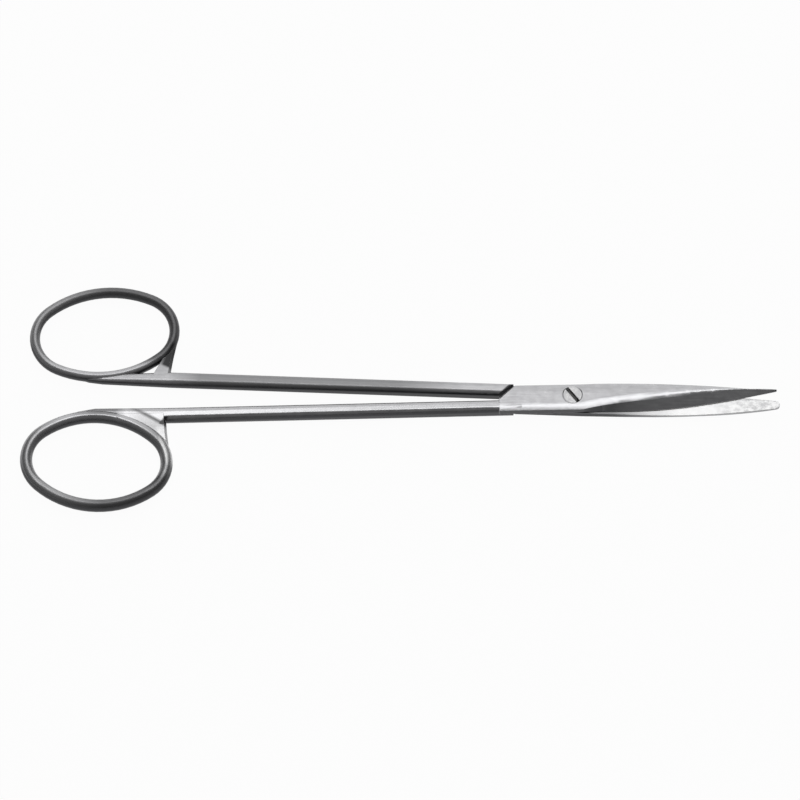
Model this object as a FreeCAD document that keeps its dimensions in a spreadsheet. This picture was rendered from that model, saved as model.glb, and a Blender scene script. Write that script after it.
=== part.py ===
import FreeCAD, Part
import Sketcher
import math
import os

# Dissecting scissors: two forged steel halves lapped on one slotted pivot screw.
# Each half is drawn as it lies when the blades are shut, handle to -X and tip to +X,
# with the pivot at the origin and its flat inner face just above Z = 0.
# The blunt half is the same forging turned over, so both are made by one function.

doc = FreeCAD.newDocument("dissecting_scissors")

# Driving sizes in millimetres, and angles in degrees.
SIZES = {
    # Whole tool
    "rest_opening": 3.3,  # angle between the halves as they lie, degrees
    "layer": 1.5,  # thickness of one half at the joint
    "lap_gap": 0.04,  # oil gap between the two lapped faces

    # Joint
    "joint_width": 5.4,  # width of the lapped joint
    "joint_flat": 2.2,  # width of the flat along the top of the joint
    "joint_side": 1.3,  # height of the joint at its side, under the crown
    "joint_back": 14.0,  # pivot to the inner end of the shoulder
    "shoulder_rake": 2.7,  # how far the shoulder leans forward over the width of the shank
    "shoulder_gap": 0.15,  # gap left at the shoulder when the blades are shut

    # Blades
    "blade_start": 2.0,  # pivot to where the blade begins to be ground
    "bend_start": 12.0,  # pivot to where the blade begins to curve on the flat
    "tip_rise": 1.7,  # how far the curve lifts the tips
    "hollow": 0.03,  # relief ground into the inner face of each blade
    "margin_slope": 0.13,  # fall of the blade's outer face from its peak to its ridge, by its width
    "sharp_reach": 38.9,  # pivot to the sharp tip
    "sharp_tip_width": 0.36,  # width of the sharp blade at its tip
    "sharp_tip_side": 0.08,  # edge of the sharp tip from the centre line
    "sharp_tip_height": 0.34,  # thickness of the sharp blade at its tip
    "blunt_reach": 39.5,  # pivot to the blunt tip
    "blunt_tip_width": 1.44,  # width of the blunt blade at its tip
    "blunt_tip_side": -0.3,  # edge of the blunt tip from the centre line
    "blunt_tip_height": 0.55,  # thickness of the blunt blade at its tip

    # Shanks
    "shank_gap": 0.12,  # inner side of a shank from the centre line
    "shank_width": 2.48,  # width of a shank at the joint
    "shank_front_round": 0.9,  # rounding of the shank at the joint
    "fork_width": 2.95,  # width of a shank at the fork with its bow
    "fork_height": 2.4,  # thickness of a shank at the fork with its bow
    "fork_round": 1.1,  # rounding of the shank at the fork
    "root_width": 1.7,  # width of the shank where it runs out along the bow
    "root_height": 1.8,  # thickness of the shank where it runs out along the bow
    "root_round": 0.7,  # rounding of the shank where it runs out along the bow
    "root_proud": 0.5,  # how far the running out shank stands proud of the wire
    "runout_angle": 107.0,  # where the shank has all but run out, degrees round the bow
    "runout_proud": 0.12,  # how far it still stands proud of the wire there
    "runout_width": 1.3,  # width of the shank there
    "runout_height": 1.5,  # thickness of the shank there
    "runout_round": 0.55,  # rounding of the shank there
    "tail_width": 1.0,  # width of the shank's hidden end in the wire
    "tail_height": 1.2,  # thickness of the shank's hidden end in the wire
    "tail_round": 0.4,  # rounding of the shank's hidden end in the wire
    "tail_angle": 122.0,  # where the shank's hidden end lies in the wire, degrees round the bow
    "sharp_twist": 6.0,  # twist of the sharp half's shank, which sets its blade
    "blunt_twist": -2.0,  # twist of the blunt half's shank

    # Finger bows
    "bow_length": 26.75,  # long diameter of a bow, to the middle of its wire
    "bow_end_round": 7.35,  # radius of a bow's ends
    "web_mid": 44.0,  # where the web is halfway along the bow, degrees round it
    "web_set": 1.0,  # how far the web's inner side lies outside the wire's middle there
    "web_flank": 0.45,  # how far the web's outer flank slopes out below its face
    "web_hollow": 0.1,  # how far the web's outer side curves in between its ends
    "web_root": 2.14,  # thickness of the web along the shank
    "web_middle": 1.25,  # thickness of the web halfway along the bow
    "web_end": 0.9,  # thickness of the web where its outer side meets the bow
    "sharp_fork": 77.5,  # pivot to the fork of the sharp half
    "sharp_bow_back": 90.85,  # pivot to the centre of the sharp half's bow
    "sharp_bow_offset": 11.2,  # centre line to the centre of the sharp half's bow
    "sharp_bow_width": 19.05,  # short diameter of the sharp half's bow
    "sharp_bow_tilt": 5.0,  # turn of the sharp half's bow, degrees
    "sharp_wire_width": 2.35,  # width of the sharp half's bow wire
    "sharp_wire_height": 2.6,  # height of the sharp half's bow wire
    "sharp_web_near": 22.0,  # where the web's outer side meets the sharp half's bow, degrees
    "sharp_web_back": 88.5,  # pivot to where the web ends along the sharp half's shank
    "blunt_fork": 76.9,  # pivot to the fork of the blunt half
    "blunt_bow_back": 89.65,  # pivot to the centre of the blunt half's bow
    "blunt_bow_offset": 10.9,  # centre line to the centre of the blunt half's bow
    "blunt_bow_width": 18.1,  # short diameter of the blunt half's bow
    "blunt_bow_tilt": 9.5,  # turn of the blunt half's bow, degrees
    "blunt_wire_width": 1.95,  # width of the blunt half's bow wire
    "blunt_wire_height": 2.3,  # height of the blunt half's bow wire
    "blunt_web_near": 12.0,  # where the web's outer side meets the blunt half's bow, degrees
    "blunt_web_back": 80.3,  # pivot to where the web ends along the blunt half's shank

    # Pivot screw
    "pivot_offset": 0.45,  # pivot hole from the joint's centre line, towards the blunt half's shank
    "screw_shank": 2.2,  # diameter of the screw's shank
    "screw_head": 3.6,  # diameter of the screw's head
    "screw_cone": 0.7,  # depth of the countersunk head
    "screw_play": 0.03,  # running clearance of the sharp half on the screw
    "screw_sink": 0.08,  # how far the screw's ends sit below the faces
    "rim_bevel": 0.16,  # bevel round the mouth of the countersink
    "slot_width": 0.72,  # width of the driver slot
    "slot_depth": 0.5,  # depth of the driver slot
    "slot_angle": -52.0,  # direction of the driver slot, degrees
}

sheet = doc.addObject("Spreadsheet::Sheet", "dims")
for row, (alias, driving) in enumerate(SIZES.items(), 1):
    sheet.set(f"A{row}", alias)
    sheet.set(f"B{row}", str(driving))
    sheet.setAlias(f"B{row}", alias)
doc.recompute()


def value(expression):
    """Work out an expression on the sheet's sizes."""
    return float(sheet.evalExpression(str(expression)))


def origin_plane(body, role):
    """Find one of the body's own origin planes."""
    return [item for item in body.Origin.OriginFeatures if item.Role == role][0]


def new_sketch(body, name, role, offsets=None, turn=None):
    """Start a sketch on an origin plane, moved and turned by expressions."""
    sketch = body.newObject("Sketcher::SketchObject", name)
    sketch.AttachmentSupport = [(origin_plane(body, role), "")]
    sketch.MapMode = "FlatFace"
    if turn:
        axis, angle = turn
        sketch.setExpression("AttachmentOffset.Rotation", f"rotation(vector({axis}); {angle})")
    for direction, distance in (offsets or {}).items():
        sketch.setExpression(f"AttachmentOffset.Base.{direction}", distance)
    return sketch


def cross_section(body, name, distance, twist=None):
    """Start a sketch square to the length of the tool, looking along +X."""
    turn = ("0; 0; 1", twist) if twist else None
    return new_sketch(body, name, "YZ_Plane", {"z": distance}, turn)


def hold(sketch, kind, expression, *places):
    """Add a dimension to a sketch and tie it to the sheet."""
    index = sketch.addConstraint(Sketcher.Constraint(kind, *places, value(expression)))
    sketch.setExpression(f"Constraints[{index}]", str(expression))


def pin(sketch, side, end, corner):
    """Hold one end of a side at a corner measured from the sketch's origin."""
    hold(sketch, "DistanceX", corner[0], -1, 1, side, end)
    hold(sketch, "DistanceY", corner[1], -1, 1, side, end)


def spot(corner):
    """The place of a corner given as two expressions."""
    return FreeCAD.Vector(value(corner[0]), value(corner[1]), 0)


def outline(sketch, corners):
    """Draw a closed outline with straight sides, each corner tied to the sheet."""
    places = [spot(corner) for corner in corners]
    for here, there in zip(places, places[1:] + places[:1]):
        sketch.addGeometry(Part.LineSegment(here, there))
    for side, corner in enumerate(corners):
        following = (side + 1) % len(corners)
        sketch.addConstraint(Sketcher.Constraint("Coincident", side, 2, following, 1))
        pin(sketch, side, 1, corner)


def tangent_arc(start, end, joint, direction):
    """The arc from start to end that leaves or meets a line at its joint."""
    across = FreeCAD.Vector(-direction.y, direction.x, 0)
    chord = (end if joint == start else start) - joint
    radius = chord.Length ** 2 / (2 * chord.dot(across))
    centre = joint + across * radius
    middle = (start + end) * 0.5 - centre
    middle.normalize()
    return Part.Arc(start, centre + middle * abs(radius), end)


def rounded_bar(sketch, low, high, radius):
    """Draw a rectangle from one corner to the other with its corners rounded."""
    first, last, bend = spot(low), spot(high), value(radius)
    left, right, bottom, top = first.x, last.x, first.y, last.y
    sides = (
        ((left + bend, bottom), (right - bend, bottom)),
        ((right, bottom + bend), (right, top - bend)),
        ((right - bend, top), (left + bend, top)),
        ((left, top - bend), (left, bottom + bend)),
    )
    centres = (
        (right - bend, bottom + bend, -90),
        (right - bend, top - bend, 0),
        (left + bend, top - bend, 90),
        (left + bend, bottom + bend, 180),
    )
    for start, end in sides:
        sketch.addGeometry(Part.LineSegment(FreeCAD.Vector(*start, 0), FreeCAD.Vector(*end, 0)))
    for across, up, angle in centres:
        circle = Part.Circle(FreeCAD.Vector(across, up, 0), FreeCAD.Vector(0, 0, 1), bend)
        quarter = Part.ArcOfCircle(circle, math.radians(angle), math.radians(angle + 90))
        sketch.addGeometry(quarter)
    for side in range(4):
        sketch.addConstraint(Sketcher.Constraint("Tangent", side, 2, side + 4, 1))
        sketch.addConstraint(Sketcher.Constraint("Tangent", side + 4, 2, (side + 1) % 4, 1))
        level = "Horizontal" if side % 2 == 0 else "Vertical"
        sketch.addConstraint(Sketcher.Constraint(level, side))
    for corner in range(5, 8):
        sketch.addConstraint(Sketcher.Constraint("Equal", 4, corner))
    hold(sketch, "Radius", radius, 4)
    hold(sketch, "DistanceY", low[1], -1, 1, 0, 1)
    hold(sketch, "DistanceX", high[0], -1, 1, 1, 1)
    hold(sketch, "DistanceY", high[1], -1, 1, 2, 1)
    hold(sketch, "DistanceX", low[0], -1, 1, 3, 1)


def upright_ellipse(sketch, centre, wide, tall):
    """Draw an ellipse by its two diameters, the longer one upright."""
    middle = spot(centre)
    up = FreeCAD.Vector(0, value(tall) / 2, 0)
    across = FreeCAD.Vector(value(wide) / 2, 0, 0)
    curve = sketch.addGeometry(Part.Ellipse(middle + up, middle + across, middle))
    sketch.exposeInternalGeometry(curve)
    sketch.addConstraint(Sketcher.Constraint("Vertical", curve + 1))
    hold(sketch, "Distance", tall, curve + 1)
    hold(sketch, "Distance", wide, curve + 2)
    pin(sketch, curve, 3, centre)


def oval(sketch, length, width, end_round):
    """Draw an oval from end arcs and side arcs, its first end arc split where it crosses +X."""
    end_centre = f"({length} / 2 - {end_round})"
    reach = f"({end_centre} ^ 2 + ({width} / 2) ^ 2 - {end_round} ^ 2)"
    side_round = f"({reach} / ({width} - 2 * {end_round}))"
    side_centre = f"({side_round} - {width} / 2)"
    meet = math.atan2(value(side_centre), value(end_centre))
    half_turn = math.pi
    arcs = (
        (end_centre, "0", end_round, 0, meet),
        ("0", f"-{side_centre}", side_round, meet, half_turn - meet),
        (f"-{end_centre}", "0", end_round, half_turn - meet, half_turn + meet),
        ("0", side_centre, side_round, half_turn + meet, 2 * half_turn - meet),
        (end_centre, "0", end_round, 2 * half_turn - meet, 2 * half_turn),
    )
    for along, aside, radius, start, end in arcs:
        circle = Part.Circle(spot((along, aside)), FreeCAD.Vector(0, 0, 1), value(radius))
        sketch.addGeometry(Part.ArcOfCircle(circle, start, end))
    for arc in range(5):
        sketch.addConstraint(Sketcher.Constraint("Tangent", arc, 2, (arc + 1) % 5, 1))
    for end_arc in (2, 4):
        sketch.addConstraint(Sketcher.Constraint("Equal", 0, end_arc))
    hold(sketch, "Radius", end_round, 0)
    hold(sketch, "DistanceY", "0", -1, 1, 0, 1)
    pin(sketch, 0, 3, (end_centre, "0"))
    pin(sketch, 2, 3, (f"-{end_centre}", "0"))
    hold(sketch, "DistanceY", f"-{side_centre}", -1, 1, 1, 3)
    hold(sketch, "DistanceY", side_centre, -1, 1, 3, 3)


def blade_section(sketch, edge, ridge, flat_start, flat_end, spine):
    """Draw one section of joint or blade: inner face, thin spine, crowned top and bevel."""
    corners = [edge, (spine[0], edge[1]), spine, flat_end, flat_start, ridge]
    places = [spot(corner) for corner in corners]
    along = places[4] - places[3]
    along.normalize()
    sketch.addGeometry(Part.LineSegment(places[0], places[1]))
    sketch.addGeometry(Part.LineSegment(places[1], places[2]))
    sketch.addGeometry(tangent_arc(places[2], places[3], places[3], along))
    sketch.addGeometry(Part.LineSegment(places[3], places[4]))
    sketch.addGeometry(tangent_arc(places[4], places[5], places[4], along))
    sketch.addGeometry(Part.LineSegment(places[5], places[0]))
    meets = ("Coincident", "Coincident", "Tangent", "Tangent", "Coincident", "Coincident")
    for side, (kind, corner) in enumerate(zip(meets, corners)):
        sketch.addConstraint(Sketcher.Constraint(kind, side, 2, (side + 1) % 6, 1))
        pin(sketch, side, 1, corner)


def pad(body, name, sketch, length, both_ways=False):
    """Thicken a sketch along its normal."""
    feature = body.newObject("PartDesign::Pad", name)
    feature.Profile = sketch
    feature.setExpression("Length", length)
    feature.Midplane = both_ways
    return feature


def cut_through(body, name, sketch, both_ways):
    """Cut a sketch's outline away, downwards only or both ways."""
    feature = body.newObject("PartDesign::Pocket", name)
    feature.Profile = sketch
    feature.Type = "ThroughAll"
    feature.Midplane = both_ways
    return feature


def loft(body, name, sections, ruled):
    """Join sections in a row by one skin."""
    feature = body.newObject("PartDesign::AdditiveLoft", name)
    feature.Profile = sections[0]
    feature.Sections = sections[1:]
    feature.Ruled = ruled
    return feature


INNER = "dims.lap_gap / 2"
HALF_JOINT = "dims.joint_width / 2"

# How each blade is ground, station by station, as shares of its length: how far the cutting
# edge has come in, how far the spine of the sharp and of the blunt blade has dropped, how far
# across the blade the ridge lies, how far across its outer face the peak lies, and how much
# of their height peak and spine have lost.
BLADE_STATIONS = (
    {"along": 0.2, "edge": 0.0, "sharp": -0.07, "blunt": 0.0,
     "ridge": 0.24, "peak": 0.35, "low": 0.03, "slim": 0.3},
    {"along": 0.4, "edge": 0.05, "sharp": -0.02, "blunt": 0.02,
     "ridge": 0.37, "peak": 0.45, "low": 0.08, "slim": 0.6},
    {"along": 0.6, "edge": 0.28, "sharp": 0.23, "blunt": 0.18,
     "ridge": 0.5, "peak": 0.6, "low": 0.3, "slim": 0.75},
    {"along": 0.8, "edge": 0.62, "sharp": 0.68, "blunt": 0.52,
     "ridge": 0.78, "peak": 0.6, "low": 0.62, "slim": 0.87},
    {"along": 1.0, "edge": 1.0, "sharp": 1.0, "blunt": 1.0,
     "ridge": 0.75, "peak": 0.5, "low": 1.0, "slim": 1.0},
)
# The outer face is flat from its peak over this share of the way to the spine.
FLAT_SHARE = 0.25


def joint_section(sketch):
    """The joint's section: flat on its inner face, crowned on its outer one."""
    flat = "dims.joint_flat / 2"
    blade_section(
        sketch,
        (f"-{HALF_JOINT}", INNER),
        (f"-{HALF_JOINT}", "dims.joint_side"),
        (f"-{flat}", "dims.layer"),
        (flat, "dims.layer"),
        (HALF_JOINT, "dims.joint_side"),
    )


def blade_station(body, half, bend, number, station):
    """Draw the section of a blade at one station of its length."""
    reach = f"(dims.{half}_reach - dims.blade_start)"
    place = f"(dims.blade_start + {reach} * {station['along']})"
    curve = f"(({place} - dims.bend_start) / (dims.{half}_reach - dims.bend_start))"
    floor = f"({INNER} + dims.hollow {bend} dims.tip_rise * max(0; {curve}) ^ 2)"

    tip_edge = f"dims.{half}_tip_side"
    tip_spine = f"({tip_edge} + dims.{half}_tip_width)"
    edge = f"(({HALF_JOINT} + {tip_edge}) * {station['edge']} - {HALF_JOINT})"
    spine = f"({HALF_JOINT} - ({HALF_JOINT} - {tip_spine}) * {station[half]})"
    ridge = f"({edge} + ({spine} - {edge}) * {station['ridge']})"

    full, tip_height = f"(dims.layer - dims.hollow - {INNER})", f"dims.{half}_tip_height"
    peak_height = f"({full} - ({full} - {tip_height}) * {station['low']})"
    spine_height = f"(dims.joint_side - (dims.joint_side - {tip_height} / 2) * {station['slim']})"

    face = f"({spine} - {ridge})"
    peak = f"({ridge} + {face} * {station['peak']})"
    flat_end = f"({peak} + ({spine} - {peak}) * {FLAT_SHARE})"
    ridge_drop = f"dims.margin_slope * {face} * {station['peak']}"
    flat_drop = f"({peak_height} - {spine_height}) * {FLAT_SHARE ** 2}"

    sketch = cross_section(body, f"{half}_blade_{number}", place)
    blade_section(
        sketch,
        (edge, floor),
        (ridge, f"{floor} + {peak_height} - {ridge_drop}"),
        (peak, f"{floor} + {peak_height}"),
        (flat_end, f"{floor} + {peak_height} - {flat_drop}"),
        (spine, f"{floor} + {spine_height}"),
    )
    return sketch


def make_blade(body, half, bend):
    """Grind the blade: hollow inner face, bevelled edge and thin spine, curved on the flat."""
    sections = [cross_section(body, f"{half}_blade_0", "dims.blade_start")]
    joint_section(sections[0])
    for number, station in enumerate(BLADE_STATIONS, 1):
        sections.append(blade_station(body, half, bend, number, station))
    loft(body, f"{half}_blade", sections, ruled=False)
    doc.recompute()


def round_tip(body, half):
    """Cut the square end of the blade to a half round."""
    nose = f"(dims.{half}_tip_width / 2)"
    middle = f"(dims.{half}_tip_side + {nose})"
    shoulder = f"(dims.{half}_reach - {nose})"
    beyond = f"(dims.{half}_reach + dims.joint_width)"
    corners = [
        (shoulder, f"{middle} - {nose}"),
        (shoulder, f"{middle} - dims.joint_width"),
        (beyond, f"{middle} - dims.joint_width"),
        (beyond, f"{middle} + dims.joint_width"),
        (shoulder, f"{middle} + dims.joint_width"),
        (shoulder, f"{middle} + {nose}"),
    ]
    sketch = new_sketch(body, f"{half}_tip_outline", "XY_Plane")
    places = [spot(corner) for corner in corners]
    for here, there in zip(places, places[1:]):
        sketch.addGeometry(Part.LineSegment(here, there))
    circle = Part.Circle(spot((shoulder, middle)), FreeCAD.Vector(0, 0, 1), value(nose))
    arc = sketch.addGeometry(Part.ArcOfCircle(circle, -math.pi / 2, math.pi / 2))
    for side in range(1, arc):
        sketch.addConstraint(Sketcher.Constraint("Coincident", side - 1, 2, side, 1))
    sketch.addConstraint(Sketcher.Constraint("Coincident", arc - 1, 2, arc, 2))
    sketch.addConstraint(Sketcher.Constraint("Coincident", 0, 1, arc, 1))
    for side, corner in enumerate(corners[:-1]):
        pin(sketch, side, 1, corner)
    pin(sketch, arc, 3, (shoulder, middle))
    hold(sketch, "DistanceX", shoulder, -1, 1, arc, 2)
    cut_through(body, f"{half}_tip", sketch, both_ways=True)
    doc.recompute()


def shoulder_point(back, outwards):
    """A point on the shoulder's slant, by its distance out from the centre line."""
    lean = f"dims.shoulder_rake / dims.shank_width * ({outwards} - dims.shank_gap)"
    return f"{back} + {lean}"


def make_joint(body, half):
    """Make the lapped plate and cut its far corner clear of the other half's shoulder."""
    section = cross_section(body, f"{half}_joint_section", "-dims.joint_back")
    joint_section(section)
    pad(body, f"{half}_joint", section, "dims.joint_back + dims.blade_start")
    doc.recompute()
    clear = "dims.shoulder_gap * sqrt(1 + (dims.shank_width / dims.shoulder_rake) ^ 2)"
    behind = "-dims.joint_back * 2"
    corner = new_sketch(body, f"{half}_back_corner", "XY_Plane")
    outline(corner, [
        (f"{clear} - dims.joint_back", "-dims.shank_gap"),
        (f"{clear} + {shoulder_point('-dims.joint_back', 'dims.joint_width')}", "dims.joint_width"),
        (behind, "dims.joint_width"),
        (behind, "-dims.shank_gap"),
    ])
    cut_through(body, f"{half}_back_cut", corner, both_ways=True)
    doc.recompute()


def on_bow(half, angle, outwards="0"):
    """A point on the middle of the bow's wire, or outwards of it, by its angle round the bow."""
    tilt = f"dims.{half}_bow_tilt"
    along = f"(dims.bow_length / 2 + {outwards}) * cos({angle})"
    aside = f"(dims.{half}_bow_width / 2 + {outwards}) * sin({angle})"
    return (
        f"({along} * cos({tilt}) + {aside} * sin({tilt}) - dims.{half}_bow_back)",
        f"({aside} * cos({tilt}) - {along} * sin({tilt}) - dims.{half}_bow_offset)",
    )


def make_shank(body, half):
    """Draw out the shank: a rounded bar that widens and thins, then runs out along the bow."""
    wire_side = f"(dims.{half}_bow_width + dims.{half}_wire_width) / 2"
    inner = f"({wire_side} - dims.{half}_bow_offset + dims.root_proud)"
    proud = f"dims.{half}_wire_width / 2 + dims.runout_proud"
    runout_place, runout_inner = on_bow(half, "dims.runout_angle", f"({proud})")
    tail_place, tail_middle = on_bow(half, "dims.tail_angle")
    stations = (
        {
            "place": "dims.shoulder_rake + dims.layer - dims.joint_back",
            "outer": "-dims.shank_gap - dims.shank_width", "inner": "-dims.shank_gap",
            "top": "dims.layer", "round": "dims.shank_front_round",
        },
        {
            "place": f"-dims.{half}_fork",
            "outer": "-dims.shank_gap - dims.fork_width", "inner": "-dims.shank_gap",
            "top": "(dims.fork_height / 2)", "round": "dims.fork_round",
        },
        {
            "place": f"-dims.{half}_bow_back",
            "outer": f"{inner} - dims.root_width", "inner": inner,
            "top": "(dims.root_height / 2)", "round": "dims.root_round",
        },
        {
            "place": runout_place,
            "outer": f"{runout_inner} - dims.runout_width", "inner": runout_inner,
            "top": "(dims.runout_height / 2)", "round": "dims.runout_round",
        },
        {
            "place": tail_place,
            "outer": f"{tail_middle} - dims.tail_width / 2",
            "inner": f"{tail_middle} + dims.tail_width / 2",
            "top": "(dims.tail_height / 2)", "round": "dims.tail_round",
        },
    )
    sections = []
    for number, station in enumerate(stations):
        twist = f"dims.{half}_twist" if number else None
        sketch = cross_section(body, f"{half}_shank_{number}", station["place"], twist)
        low, high = (station["outer"], f"-{station['top']}"), (station["inner"], station["top"])
        rounded_bar(sketch, low, high, station["round"])
        sections.append(sketch)
    loft(body, f"{half}_shank", sections, ruled=True)
    doc.recompute()

    # The shoulder: the layer beyond the lapped face ends on a slant, and the other half's
    # plate closes against it.
    back, outer = "-dims.joint_back", "dims.joint_width"
    shoulder = new_sketch(body, f"{half}_shoulder", "XY_Plane", {"z": INNER})
    outline(shoulder, [
        (back, "-dims.shank_gap"),
        (shoulder_point(back, outer), f"-{outer}"),
        ("0", f"-{outer}"),
        ("0", "dims.shank_gap"),
        (back, "dims.shank_gap"),
    ])
    cut_through(body, f"{half}_shoulder_cut", shoulder, both_ways=False)
    doc.recompute()


def make_bow(body, half):
    """Forge the finger bow, a closed loop of oval wire."""
    tilt = f"dims.{half}_bow_tilt"
    back, aside = f"-dims.{half}_bow_back", f"-dims.{half}_bow_offset"
    loop = new_sketch(body, f"{half}_bow_line", "XY_Plane", {"x": back, "y": aside}, ("0; 0; -1", tilt))
    oval(loop, "dims.bow_length", f"dims.{half}_bow_width", "dims.bow_end_round")
    offsets = {"x": back, "z": f"dims.{half}_bow_offset"}
    wire = new_sketch(body, f"{half}_bow_wire", "XZ_Plane", offsets, ("0; -1; 0", tilt))
    wide, tall = f"dims.{half}_wire_width", f"dims.{half}_wire_height"
    upright_ellipse(wire, ("dims.bow_length / 2", "0"), wide, tall)
    bow = body.newObject("PartDesign::AdditivePipe", f"{half}_bow")
    bow.Profile = wire
    bow.Spine = (loop, [f"Edge{number}" for number in range(1, 6)])
    doc.recompute()


def web_section(body, half, name, place, back, front, height):
    """Draw the web's section at a distance from the centre line: flat faces, sloping flank."""
    sketch = new_sketch(body, name, "XZ_Plane", {"z": f"-({place})"})
    face_end = f"{front} - dims.web_flank"
    outline(sketch, [
        (back, f"-{height} / 2"),
        (face_end, f"-{height} / 2"),
        (front, "0"),
        (face_end, f"{height} / 2"),
        (back, f"{height} / 2"),
    ])
    return sketch


def make_web(body, half):
    """Fill the fork between shank and bow with a web that thins towards the bow."""
    root_place, fork = "-dims.shank_gap - dims.fork_width / 2", f"-dims.{half}_fork"
    middle_back, middle_place = on_bow(half, "dims.web_mid")
    end_back, end_place = on_bow(half, f"dims.{half}_web_near")
    end_front = f"({end_back} + dims.{half}_wire_width / 2)"
    share = f"({middle_place} - ({root_place})) / ({end_place} - ({root_place}))"
    middle_front = f"({fork} + ({end_front} - {fork}) * {share} - dims.web_hollow)"
    rows = (
        (root_place, f"-dims.{half}_web_back", fork, "dims.web_root"),
        (middle_place, f"{middle_back} + dims.web_set", middle_front, "dims.web_middle"),
        (end_place, end_back, end_front, "dims.web_end"),
    )
    sections = []
    for number, (place, back, front, height) in enumerate(rows):
        name = f"{half}_web_{number}"
        sections.append(web_section(body, half, name, place, back, front, height))
    loft(body, f"{half}_web", sections, ruled=True)
    doc.recompute()


def make_half(half, bend):
    """Forge one half: joint, blade, shank and finger bow in one piece."""
    body = doc.addObject("PartDesign::Body", f"{half}_half")
    body.Label = f"{half}_half"
    make_joint(body, half)
    make_blade(body, half, bend)
    round_tip(body, half)
    make_shank(body, half)
    make_bow(body, half)
    make_web(body, half)
    return body


def revolve(body, kind, name, aside, corners):
    """Turn an outline about the pivot axis, to add it or to cut it away."""
    sketch = new_sketch(body, f"{name}_outline", "XZ_Plane", {"z": aside})
    outline(sketch, corners)
    feature = body.newObject(kind, name)
    feature.Profile = sketch
    feature.ReferenceAxis = (sketch, ["V_Axis"])
    feature.Angle = 360
    doc.recompute()
    return feature


def drill_sharp_half(body):
    """The sharp half turns on the screw: a running hole with a countersunk mouth."""
    hole = "(dims.screw_shank / 2 + dims.screw_play)"
    mouth = "(dims.screw_head / 2 + dims.screw_play)"
    top = "(dims.layer - dims.screw_sink)"
    revolve(body, "PartDesign::Groove", "sharp_pivot_hole", "-dims.pivot_offset", [
        ("0", "-dims.layer"),
        (hole, "-dims.layer"),
        (hole, f"{top} - dims.screw_cone"),
        (mouth, top),
        (f"{mouth} + dims.rim_bevel", "dims.layer + dims.screw_sink"),
        (f"{mouth} + dims.rim_bevel", "dims.layer * 2"),
        ("0", "dims.layer * 2"),
    ])


def drill_blunt_half(body):
    """The blunt half holds the screw: a plain hole of the screw's own size."""
    hole = "(dims.screw_shank / 2)"
    revolve(body, "PartDesign::Groove", "blunt_pivot_hole", "dims.pivot_offset", [
        ("0", "-dims.layer"),
        (hole, "-dims.layer"),
        (hole, "dims.layer * 2"),
        ("0", "dims.layer * 2"),
    ])


def make_screw():
    """The pivot screw: a countersunk slotted head, its shank let into the blunt half."""
    body = doc.addObject("PartDesign::Body", "pivot_screw")
    body.Label = "pivot_screw"
    top = "(dims.layer - dims.screw_sink)"
    shank = "(dims.screw_shank / 2)"
    revolve(body, "PartDesign::Revolution", "screw_turned", "0", [
        ("0", f"-{top}"),
        (shank, f"-{top}"),
        (shank, f"{top} - dims.screw_cone"),
        ("dims.screw_head / 2", top),
        ("0", top),
    ])
    slot = new_sketch(body, "slot_outline", "XY_Plane", {"z": top}, ("0; 0; 1", "dims.slot_angle"))
    half_length, half_width = "dims.screw_head", "dims.slot_width / 2"
    outline(slot, [
        (f"-{half_length}", f"-{half_width}"),
        (half_length, f"-{half_width}"),
        (half_length, half_width),
        (f"-{half_length}", half_width),
    ])
    cut = body.newObject("PartDesign::Pocket", "slot")
    cut.Profile = slot
    cut.setExpression("Length", "dims.slot_depth")
    doc.recompute()
    return body


sharp = make_half("sharp", "+")
blunt = make_half("blunt", "-")
drill_sharp_half(sharp)
drill_blunt_half(blunt)
screw = make_screw()

# The halves lie opened by the rest angle, shared between them, with the pivot at X = Y = 0
# and the underside of the joint on Z = 0. The blunt half is turned over before it is opened.
lift = FreeCAD.Vector(0, 0, value("dims.layer"))
upright = FreeCAD.Vector(0, 0, 1)
half_open = value("dims.rest_opening / 2")
turned_over = FreeCAD.Rotation(FreeCAD.Vector(1, 0, 0), 180)
for body, hole, turn in (
    (sharp, "dims.pivot_offset", FreeCAD.Rotation(upright, half_open)),
    (blunt, "-dims.pivot_offset", FreeCAD.Rotation(upright, -half_open) * turned_over),
):
    to_pivot = FreeCAD.Placement(FreeCAD.Vector(0, -value(hole), 0), FreeCAD.Rotation())
    body.Placement = FreeCAD.Placement(lift, turn) * to_pivot
screw.Placement = FreeCAD.Placement(lift, FreeCAD.Rotation())
doc.recompute()

pieces = (sharp, blunt, screw)
for item in doc.Objects:
    if "Invalid" in item.State or "Error" in item.State:
        raise RuntimeError(f"{item.Name} could not be made")
for piece in pieces:
    if piece.Shape.isNull() or not piece.Shape.isValid() or len(piece.Shape.Solids) != 1:
        raise RuntimeError(f"{piece.Label} is not one sound solid")

os.makedirs("parts", exist_ok=True)
for piece in pieces:
    piece.Shape.exportStep(f"parts/{piece.Label}.step")
    print(piece.Label, round(piece.Shape.Volume, 2), piece.Shape.BoundBox)
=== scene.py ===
import math

import bpy
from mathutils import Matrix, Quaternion, Vector

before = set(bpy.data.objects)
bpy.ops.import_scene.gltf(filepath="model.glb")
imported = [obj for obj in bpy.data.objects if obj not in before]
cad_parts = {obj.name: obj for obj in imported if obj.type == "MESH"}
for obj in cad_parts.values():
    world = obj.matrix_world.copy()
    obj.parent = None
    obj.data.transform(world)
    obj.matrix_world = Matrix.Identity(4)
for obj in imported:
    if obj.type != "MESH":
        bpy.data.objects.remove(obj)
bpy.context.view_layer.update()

# The sharp half: one forging of stainless steel, from the lower finger bow to the sharp tip.
# It is ground and brushed to a satin finish along its length, which leaves its corners brighter.
# The inner face of its blade is ground finer, and the shade in a forging crease beside its bow is
# painted as a dark line.
MM = 0.001


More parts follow.
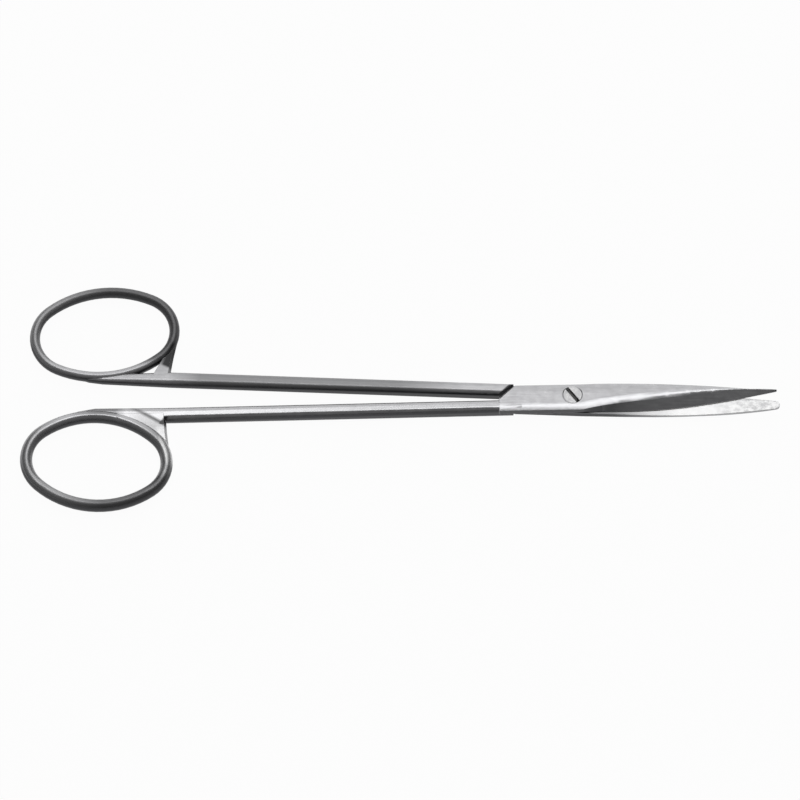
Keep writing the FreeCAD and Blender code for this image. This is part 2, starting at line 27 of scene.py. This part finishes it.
def mm(*lengths):
    """Lengths given in millimetres."""
    return tuple(length * MM for length in lengths)


class Signal:
    """One socket of a material, so that maths on it is written as maths."""

    def __init__(self, tree, socket=None):
        self.tree = tree
        self.socket = socket

    def node(self, kind, settings=None, inputs=None, output=0):
        """Add a node: its settings first, then the values or links of its sockets."""
        made = self.tree.nodes.new(kind)
        for name, setting in (settings or {}).items():
            setattr(made, name, setting)
        for name, given in (inputs or {}).items():
            if isinstance(given, Signal):
                self.tree.links.new(given.socket, made.inputs[name])
            else:
                made.inputs[name].default_value = given
        return Signal(self.tree, made.outputs[output])

    def also(self, output):
        """Another output of the same node."""
        return Signal(self.tree, self.socket.node.outputs[output])

    def math(self, operation, first, second, clamp=False):
        settings = {"operation": operation, "use_clamp": clamp}
        return self.node("ShaderNodeMath", settings, {0: first, 1: second})

    def __add__(self, other):
        return self.math("ADD", self, other)

    def __sub__(self, other):
        return self.math("SUBTRACT", self, other)

    def __rsub__(self, other):
        return self.math("SUBTRACT", other, self)

    def __mul__(self, other):
        return self.math("MULTIPLY", self, other)

    __radd__ = __add__
    __rmul__ = __mul__

    def size(self):
        """The value without its sign."""
        return self.node("ShaderNodeMath", {"operation": "ABSOLUTE"}, {0: self})

    def between(self, low, high):
        """0 at low and 1 at high, clamped, with a straight run between them."""
        inputs = {"Value": self, "From Min": low, "From Max": high}
        return self.node("ShaderNodeMapRange", {}, inputs)

    def mixed(self, first, second):
        """A colour that goes from first to second as this goes from 0 to 1."""
        inputs = {0: self, 6: first, 7: second}
        return self.node("ShaderNodeMix", {"data_type": "RGBA"}, inputs, output=2)


def new_metal(name):
    """Start a bare metal: its shader, and its Object coordinates."""
    material = bpy.data.materials.new(name)
    material.use_nodes = True
    shader = material.node_tree.nodes["Principled BSDF"]
    shader.inputs["Metallic"].default_value = 1.0
    start = Signal(material.node_tree)
    place = start.node("ShaderNodeTexCoord", output="Object")
    return material, shader, start, place


def noise(start, place, scale, detail=2.0, rough=0.5):
    """A grain by its scale along each axis, in grains a metre."""
    point = start.node("ShaderNodeMapping", {}, {"Vector": place, "Scale": scale})
    inputs = {"Vector": point, "Scale": 1.0, "Detail": detail, "Roughness": rough}
    return start.node("ShaderNodeTexNoise", {}, inputs)


WEAR_SAMPLES = 6
WEAR_SPREAD = (0.01, 0.12)


def edge_wear(start, radius):
    """1 on sharp corners and 0 a radius away from them, and the normal rounded over them."""
    rounded = start.node("ShaderNodeBevel", {"samples": WEAR_SAMPLES}, {"Radius": radius})
    plain = start.node("ShaderNodeNewGeometry", output="Normal")
    inputs = {0: rounded, 1: plain}
    same = start.node("ShaderNodeVectorMath", {"operation": "DOT_PRODUCT"}, inputs, output="Value")
    return (1.0 - same).between(*WEAR_SPREAD), rounded


STEEP = (0.85, 0.5)
NEAR_SIDE = (0.3, -0.3)
FAR_SHADE = 0.05


def painted_side_shade(start, bow, blade, spine_shade):
    """Painted shade: 1 on steep sides that look to the near side, and a trace of it on those that
    look away.
    """
    facing = start.node("ShaderNodeTexCoord", output="Normal")
    aside = start.node("ShaderNodeSeparateXYZ", {}, {"Vector": facing}, output="Y")
    steep = aside.also("Z").size().between(*STEEP)
    near = aside.between(*NEAR_SIDE)
    side = steep * (near + (1.0 - near) * (FAR_SHADE + bow * FAR_SHADE))
    return side * (1.0 - blade * (1.0 - spine_shade))


LAYER = 1.5 * MM
FACE_GAP = 0.05 * MM
BEND_START = 12.0 * MM
TIP_REACH = 39.2 * MM
TIP_RISE = 1.7 * MM


def above_face(along, height, ground_side):
    """The height over the inner face, which is flat at the pivot and bends up to the tip."""
    curve = (along - BEND_START).between(0.0, TIP_REACH - BEND_START)
    face = curve * curve * TIP_RISE + (LAYER - ground_side * FACE_GAP)
    return (height - face) * ground_side


# The steel's colours and its painted shades, from bright to dark
GROUND_STEEL = (0.96, 0.96, 0.96, 1.0)
BRIGHT_EDGE = (0.70, 0.70, 0.70, 1.0)
STEEL = (0.47, 0.47, 0.48, 1.0)
DULL_STEEL = (0.38, 0.38, 0.39, 1.0)
PAINTED_BOW_SHADE = (0.33, 0.33, 0.335, 1.0)
PAINTED_MID_SHADE = (0.24, 0.24, 0.245, 1.0)
PAINTED_BOW_DEEP_SHADE = (0.15, 0.15, 0.153, 1.0)
PAINTED_SIDE_SHADE = (0.055, 0.055, 0.058, 1.0)
PAINTED_DEEP_SHADE = (0.045, 0.045, 0.046, 1.0)

# Where each tone starts and where it is whole, along the tool or out from its centre line
BOW_REACH = mm(5.0, 9.0)
BOW_BACK = mm(-98.0, -89.0)
BOW_SHADE_FADE = 1.5 * MM
SHANK_BACK = mm(-77.0, -71.0)
SHANK_FRONT = mm(-20.0, -33.0)
BLADE_START = mm(8.0, 20.0)
STAIN_START = mm(25.0, 33.0)
INNER_START = mm(-1.0, 1.0)
INNER_DEPTH = mm(-0.06, -0.03)
# Painted shade in the gap at the joint's shoulder: its slanting edge, its front end, and its height
# over the inner face
SHOULDER_SHADE_LINE = mm(-14.4, -14.1)
SHOULDER_SHADE_FRONT = mm(-8.0, -9.0)
SHOULDER_SHADE_DEPTH = mm(0.0, 0.1)

# Grains a metre along, across and up, and how strongly each one shows
BRUSH_GRAIN = (160.0, 4600.0, 4600.0)
CLOUD_GRAIN = (700.0, 900.0, 900.0)
PIT_GRAIN = (3800.0, 3800.0, 3800.0)
STAIN_GRAIN = (800.0, 1300.0, 1300.0)
MOTTLE = (0.7, 1.3)
STAIN_SPREAD = (0.42, 0.62)
STAIN_SHARE = 0.6
BRUSH_RELIEF = 0.7
CLOUD_RELIEF = 0.5
PIT_RELIEF = 0.2
BUMP_STRENGTH = 0.16
BUMP_HEIGHT = 0.02 * MM
GRAIN_HAZE = 0.1
GROUND_HAZE = 0.15
WEAR_RADIUS = 0.12 * MM
WEAR_SHARE = 0.35
WEAR_POLISH = 0.05


def satin_steel(name, ground_side, spine_shade, haze, shank_shade, bow_shade_from, marks):
    """Brushed steel, with the blade's ground face on the side that meets the other blade."""
    material, shader, start, place = new_metal(name)
    link = material.node_tree.links.new
    along = start.node("ShaderNodeSeparateXYZ", {}, {"Vector": place}, output="X")
    reach = along.also("Y").size()
    bow = reach.between(*BOW_REACH)
    # Painted shade: the back of the bow is painted darker still.
    bow_shade = reach.between(bow_shade_from, bow_shade_from + BOW_SHADE_FADE) * along.between(*BOW_BACK)
    # Painted shade along the middle of the shank.
    shank = along.between(*SHANK_BACK) * along.between(*SHANK_FRONT) * shank_shade
    blade = along.between(*BLADE_START)
    side = painted_side_shade(start, bow, blade, spine_shade)

    above = above_face(along, along.also("Z"), ground_side)
    inner = above.between(*INNER_DEPTH) * along.between(*INNER_START)
    # Painted shade in the gap at the joint's shoulder, above the inner face.
    shoulder_shade = (along - reach).between(*SHOULDER_SHADE_LINE) * along.between(*SHOULDER_SHADE_FRONT)
    shoulder_shade = shoulder_shade * above.between(*SHOULDER_SHADE_DEPTH)

    brushed = noise(start, place, BRUSH_GRAIN, detail=3.0, rough=0.6)
    cloudy = noise(start, place, CLOUD_GRAIN, detail=3.0)
    pits = noise(start, place, PIT_GRAIN, detail=1.0)
    specks = noise(start, place, STAIN_GRAIN, detail=4.0, rough=0.6)
    wear, rounded = edge_wear(start, WEAR_RADIUS)

    tone = (cloudy + brushed).between(*MOTTLE).mixed(DULL_STEEL, STEEL)
    tone = shank.mixed(tone, PAINTED_MID_SHADE)
    # Painted shade: the bow is painted darker than the rest of the forging, and its back darker
    # still.
    tone = bow.mixed(tone, PAINTED_BOW_SHADE)
    tone = bow_shade.mixed(tone, PAINTED_BOW_DEEP_SHADE)
    # Painted shade: steep sides that look to the near side are painted dark, and so is the gap at
    # the joint's shoulder.
    tone = side.mixed(shoulder_shade.mixed(tone, PAINTED_SIDE_SHADE), PAINTED_SIDE_SHADE)
    for mask, mark in marks(along, reach):
        tone = mask.mixed(tone, mark)
    tone = (wear * WEAR_SHARE).mixed(tone, BRIGHT_EDGE)
    stained = specks.between(*STAIN_SPREAD) * along.between(*STAIN_START) * STAIN_SHARE
    ground_tone = stained.mixed(GROUND_STEEL, STEEL)
    # Painted shadow of the other blade on the inner face near the joint, fading out to the ground
    # face's own bright tone.
    tone = inner.mixed(tone, blade.mixed(PAINTED_MID_SHADE, ground_tone))
    link(tone.socket, shader.inputs["Base Color"])

    rough = haze + (bow + cloudy + brushed) * GRAIN_HAZE - wear * WEAR_POLISH
    rough = rough + inner * blade * GROUND_HAZE
    link(rough.socket, shader.inputs["Roughness"])

    relief = brushed * BRUSH_RELIEF + cloudy * CLOUD_RELIEF + pits * PIT_RELIEF
    bump = {"Strength": BUMP_STRENGTH, "Distance": BUMP_HEIGHT, "Height": relief, "Normal": rounded}
    link(start.node("ShaderNodeBump", {}, bump).socket, shader.inputs["Normal"])
    return material


def dress(node, material):
    """Give a forged or turned piece its finish."""
    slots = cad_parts[node].data.materials
    slots.clear()
    slots.append(material)


# In the fork, a crease, painted as a dark line of shade, slants from the shank's edge to a hook in
# the corner
FORK_START = mm(-85.5, -81.5)
CREASE_SLOPE = 0.55
CREASE_LINE = 49.3 * MM
CREASE_FADE = mm(0.65, 0.1)
CREASE_END = mm(-77.4, -77.8)
CREASE_SHADE_SHARE = 0.85
WEB_START = mm(49.3, 49.6)
WEB_END = mm(51.7, 51.2)
HOOK_SLOPE = 1.67
HOOK_LINE = -124.1 * MM
HOOK_FADE = mm(1.0, 0.3)
HOOK_TOP = mm(4.9, 5.1)
HOOK_FOOT = mm(6.7, 6.3)

# The bow has a painted highlight outside its front end, and painted shade on its crest behind the
# fork
FRONT_SLOPE = 0.25
FRONT_LINE = mm(-81.3, -80.8)
FRONT_TOP = mm(6.6, 9.0)
FRONT_FOOT = mm(16.0, 14.0)
FRONT_HIGHLIGHT_SHARE = 0.7
CREST_BACK = mm(-97.0, -91.0)
CREST_FRONT = mm(-85.0, -87.0)
CREST_REACH = mm(5.5, 4.5)
CREST_SHADE_SHARE = 0.8


def sharp_marks(along, reach):
    """The painted shade of the crease and hook in the lower fork, and the painted shades and
    highlight of the lower bow beside them.
    """
    across = reach - along * CREASE_SLOPE
    fork = along.between(*FORK_START)
    web = across.between(*WEB_START) * across.between(*WEB_END) * fork
    crease = (across - CREASE_LINE).size().between(*CREASE_FADE) * fork
    crease = crease * along.between(*CREASE_END) * CREASE_SHADE_SHARE
    hook = (along * HOOK_SLOPE + reach - HOOK_LINE).size().between(*HOOK_FADE)
    hook = hook * reach.between(*HOOK_TOP) * reach.between(*HOOK_FOOT)
    # Painted highlight outside the front of the bow, and painted shade on its crest behind the
    # fork.
    front = (along - reach * FRONT_SLOPE).between(*FRONT_LINE)
    front = front * reach.between(*FRONT_TOP) * reach.between(*FRONT_FOOT) * FRONT_HIGHLIGHT_SHARE
    crest = along.between(*CREST_BACK) * along.between(*CREST_FRONT)
    crest = crest * reach.between(*CREST_REACH) * CREST_SHADE_SHARE
    return (crest, PAINTED_BOW_DEEP_SHADE), (web, PAINTED_BOW_SHADE), (front, BRIGHT_EDGE), (crease + hook, PAINTED_DEEP_SHADE)


sharp_steel = satin_steel(
    "sharp_half_steel",
    ground_side=-1.0,
    spine_shade=1.0,
    haze=0.14,
    shank_shade=0.1,
    bow_shade_from=17.0 * MM,
    marks=sharp_marks,
)
dress("sharp_half", sharp_steel)

# The blunt half: the same forging turned over, with its own bow and a rounded tip.
# Its blade lies under the other one, so its ground face looks up and shows beside the tips.
# Its shank is painted darker as shade, and the root of its bow is painted dark as shade where it
# meets the shank.
ROOT_SLOPE = 0.406
ROOT_EDGE = mm(-81.3, -80.6)
ROOT_FOOT_SLOPE = 0.51
ROOT_FOOT = mm(-34.0, -33.4)
ROOT_TOP = mm(11.5, 10.5)
SHANK_TOP = mm(5.1, 5.4)


def blunt_marks(along, reach):
    """The painted shade on the root of the upper bow, where it meets its shank."""
    root = (along - reach * ROOT_SLOPE).between(*ROOT_EDGE)
    root = root * (reach + along * ROOT_FOOT_SLOPE).between(*ROOT_FOOT)
    root = root * reach.between(*ROOT_TOP) * reach.between(*SHANK_TOP)
    return ((root, PAINTED_DEEP_SHADE),)


blunt_steel = satin_steel(
    "blunt_half_steel",
    ground_side=1.0,
    spine_shade=0.2,
    haze=0.26,
    shank_shade=1.0,
    bow_shade_from=6.0 * MM,
    marks=blunt_marks,
)
dress("blunt_half", blunt_steel)

# The pivot screw: turned from steel bar, with rings from the lathe tool round its head and a
# sawn driver slot. It is screwed into the blunt half and holds the two halves together.
SCREW_STEEL = (0.50, 0.50, 0.50, 1.0)
PAINTED_SLOT_SHADE = (0.08, 0.08, 0.08, 1.0)
SLOT_HEIGHT = mm(2.88, 2.7)
SLOT_HAZE = 0.15
SCREW_GRAIN = (1400.0, 1400.0, 1400.0)
SCREW_MOTTLE = (0.3, 0.7)
SCREW_HAZE = 0.2
SCREW_GRAIN_HAZE = 0.12
SCREW_WEAR_RADIUS = 0.07 * MM
SCREW_WEAR_SHARE = 0.7
SCREW_RELIEF = 0.4
SCREW_BUMP = 0.2
LATHE_RINGS = 60000.0
LATHE_RELIEF = 0.3
ROUND_THE_AXIS = (1.0, 1.0, 0.0)


def turned_steel(name):
    """Steel with fine rings round the screw's axis, and its slot painted dark as shade."""
    material, shader, start, place = new_metal(name)
    link = material.node_tree.links.new
    height = start.node("ShaderNodeSeparateXYZ", {}, {"Vector": place}, output="Z")
    flat_inputs = {0: place, 1: ROUND_THE_AXIS}
    flat = start.node("ShaderNodeVectorMath", {"operation": "MULTIPLY"}, flat_inputs)
    radius = start.node("ShaderNodeVectorMath", {"operation": "LENGTH"}, {0: flat}, output="Value")
    rings = start.node("ShaderNodeMath", {"operation": "SINE"}, {0: radius * LATHE_RINGS})
    cloudy = noise(start, place, SCREW_GRAIN, detail=3.0)
    wear, rounded = edge_wear(start, SCREW_WEAR_RADIUS)

    # Painted shade: the slot is painted dark below the top of the head.
    sunk = height.between(*SLOT_HEIGHT)
    tone = cloudy.between(*SCREW_MOTTLE).mixed(DULL_STEEL, SCREW_STEEL)
    tone = (wear * SCREW_WEAR_SHARE).mixed(tone, BRIGHT_EDGE)
    tone = sunk.mixed(tone, PAINTED_SLOT_SHADE)
    link(tone.socket, shader.inputs["Base Color"])

    rough = SCREW_HAZE + cloudy * SCREW_GRAIN_HAZE + sunk * SLOT_HAZE
    link(rough.socket, shader.inputs["Roughness"])

    relief = rings * LATHE_RELIEF + cloudy * SCREW_RELIEF
    bump = {"Strength": SCREW_BUMP, "Distance": BUMP_HEIGHT, "Height": relief, "Normal": rounded}
    link(start.node("ShaderNodeBump", {}, bump).socket, shader.inputs["Normal"])
    return material


dress("pivot_screw", turned_steel("pivot_screw_steel"))

# The floor: a plain pale sheet that the scissors lie on.
# It shows white to the camera and in the steel, and keeps a part of the scissors' shadow.
FLOOR_SIZE = 8.0
FLOOR_DROP = 0.05 * MM
FLOOR_COLOR = (0.95, 0.95, 0.95, 1.0)
WHITE = (1.0, 1.0, 1.0, 1.0)
SHADOW_KEPT = 0.04

bpy.ops.object.select_all(action="DESELECT")
bpy.ops.mesh.primitive_plane_add(size=FLOOR_SIZE, location=(0.0, 0.0, -FLOOR_DROP))
floor = bpy.context.object
floor.name = "floor"
paper = bpy.data.materials.new("floor_paper")
paper.use_nodes = True
paper_tree = paper.node_tree
paper_tree.nodes.remove(paper_tree.nodes["Principled BSDF"])
sheet = Signal(paper_tree)
camera_ray = sheet.node("ShaderNodeLightPath", output="Is Camera Ray")
seen = camera_ray + camera_ray.also("Is Glossy Ray") + camera_ray.also("Is Transmission Ray")
diffuse = sheet.node("ShaderNodeBsdfDiffuse", {}, {"Color": FLOOR_COLOR})
white = sheet.node("ShaderNodeEmission", {}, {"Color": WHITE, "Strength": 1.0})
share = sheet.math("MULTIPLY", seen, 1.0 - SHADOW_KEPT, clamp=True)
shown = sheet.node("ShaderNodeMixShader", {}, {0: share, 1: diffuse, 2: white})
paper_tree.links.new(shown.socket, paper_tree.nodes["Material Output"].inputs["Surface"])
floor.data.materials.append(paper)

# The light: one broad soft lamp behind the scissors and a narrow one nearly overhead, in a
# dim room with a pale horizon. Sides that face the camera stay dark, from the dim room and from
# painted shade in the steel.
HORIZON = (0.92, 0.92, 0.92, 1.0)
CEILING = (0.20, 0.20, 0.20, 1.0)
HORIZON_FADE = (0.04, 0.12)


def soft_lamp(name, width, depth, distance, angle, level):
    """A flat lamp by its angle back from straight above, at a level where 1 is white."""
    lamp = bpy.data.lights.new(name, "AREA")
    lamp.shape = "RECTANGLE"
    lamp.size = width
    lamp.size_y = depth
    lamp.energy = level * math.pi * width * depth
    holder = bpy.data.objects.new(name, lamp)
    back = math.radians(angle)
    holder.location = (0.0, distance * math.sin(back), distance * math.cos(back))
    holder.rotation_euler = (-back, 0.0, 0.0)
    holder.visible_camera = False
    bpy.context.scene.collection.objects.link(holder)


soft_lamp("overhead_lamp", width=1.0, depth=0.30, distance=1.2, angle=13.5, level=2.6)
soft_lamp("back_lamp", width=1.2, depth=1.90, distance=1.4, angle=54.0, level=0.98)

room = bpy.data.worlds.new("room")
room.use_nodes = True
bpy.context.scene.world = room
room_shader = room.node_tree.nodes["Background"]
air = Signal(room.node_tree)
direction = air.node("ShaderNodeTexCoord", output="Generated")
up = air.node("ShaderNodeSeparateXYZ", {}, {"Vector": direction}, output="Z")
shade = up.between(*HORIZON_FADE).mixed(HORIZON, CEILING)
room.node_tree.links.new(shade.socket, room_shader.inputs["Color"])
room_shader.inputs["Strength"].default_value = 1.0

# The camera looks down on the scissors from the handles' near side, through a long lens.
# The scissors lie a little turned in the picture.
VIEW_WIDTH = 152.4 * MM
VIEW_ELEVATION = 62.0
VIEW_ROLL = 0.38
LENS = 600.0
SENSOR = 36.0
FAR_CLIP = 100.0
AIM = Vector(mm(-32.85, -0.63, 1.5))

camera_data = bpy.data.cameras.new("camera")
camera_data.lens = LENS
camera_data.sensor_width = SENSOR
camera_data.clip_end = FAR_CLIP
camera = bpy.data.objects.new("camera", camera_data)
elevation = math.radians(VIEW_ELEVATION)
toward = Vector((0.0, -math.cos(elevation), math.sin(elevation)))
camera.location = AIM + toward * (VIEW_WIDTH * LENS / SENSOR)
camera.rotation_mode = "QUATERNION"
view_axis = Vector((0.0, 0.0, 1.0))
roll = Quaternion(view_axis, math.radians(VIEW_ROLL))
camera.rotation_quaternion = toward.to_track_quat("Z", "Y") @ roll
bpy.context.scene.collection.objects.link(camera)
bpy.context.scene.camera = camera
bpy.context.scene.view_settings.view_transform = "Standard"
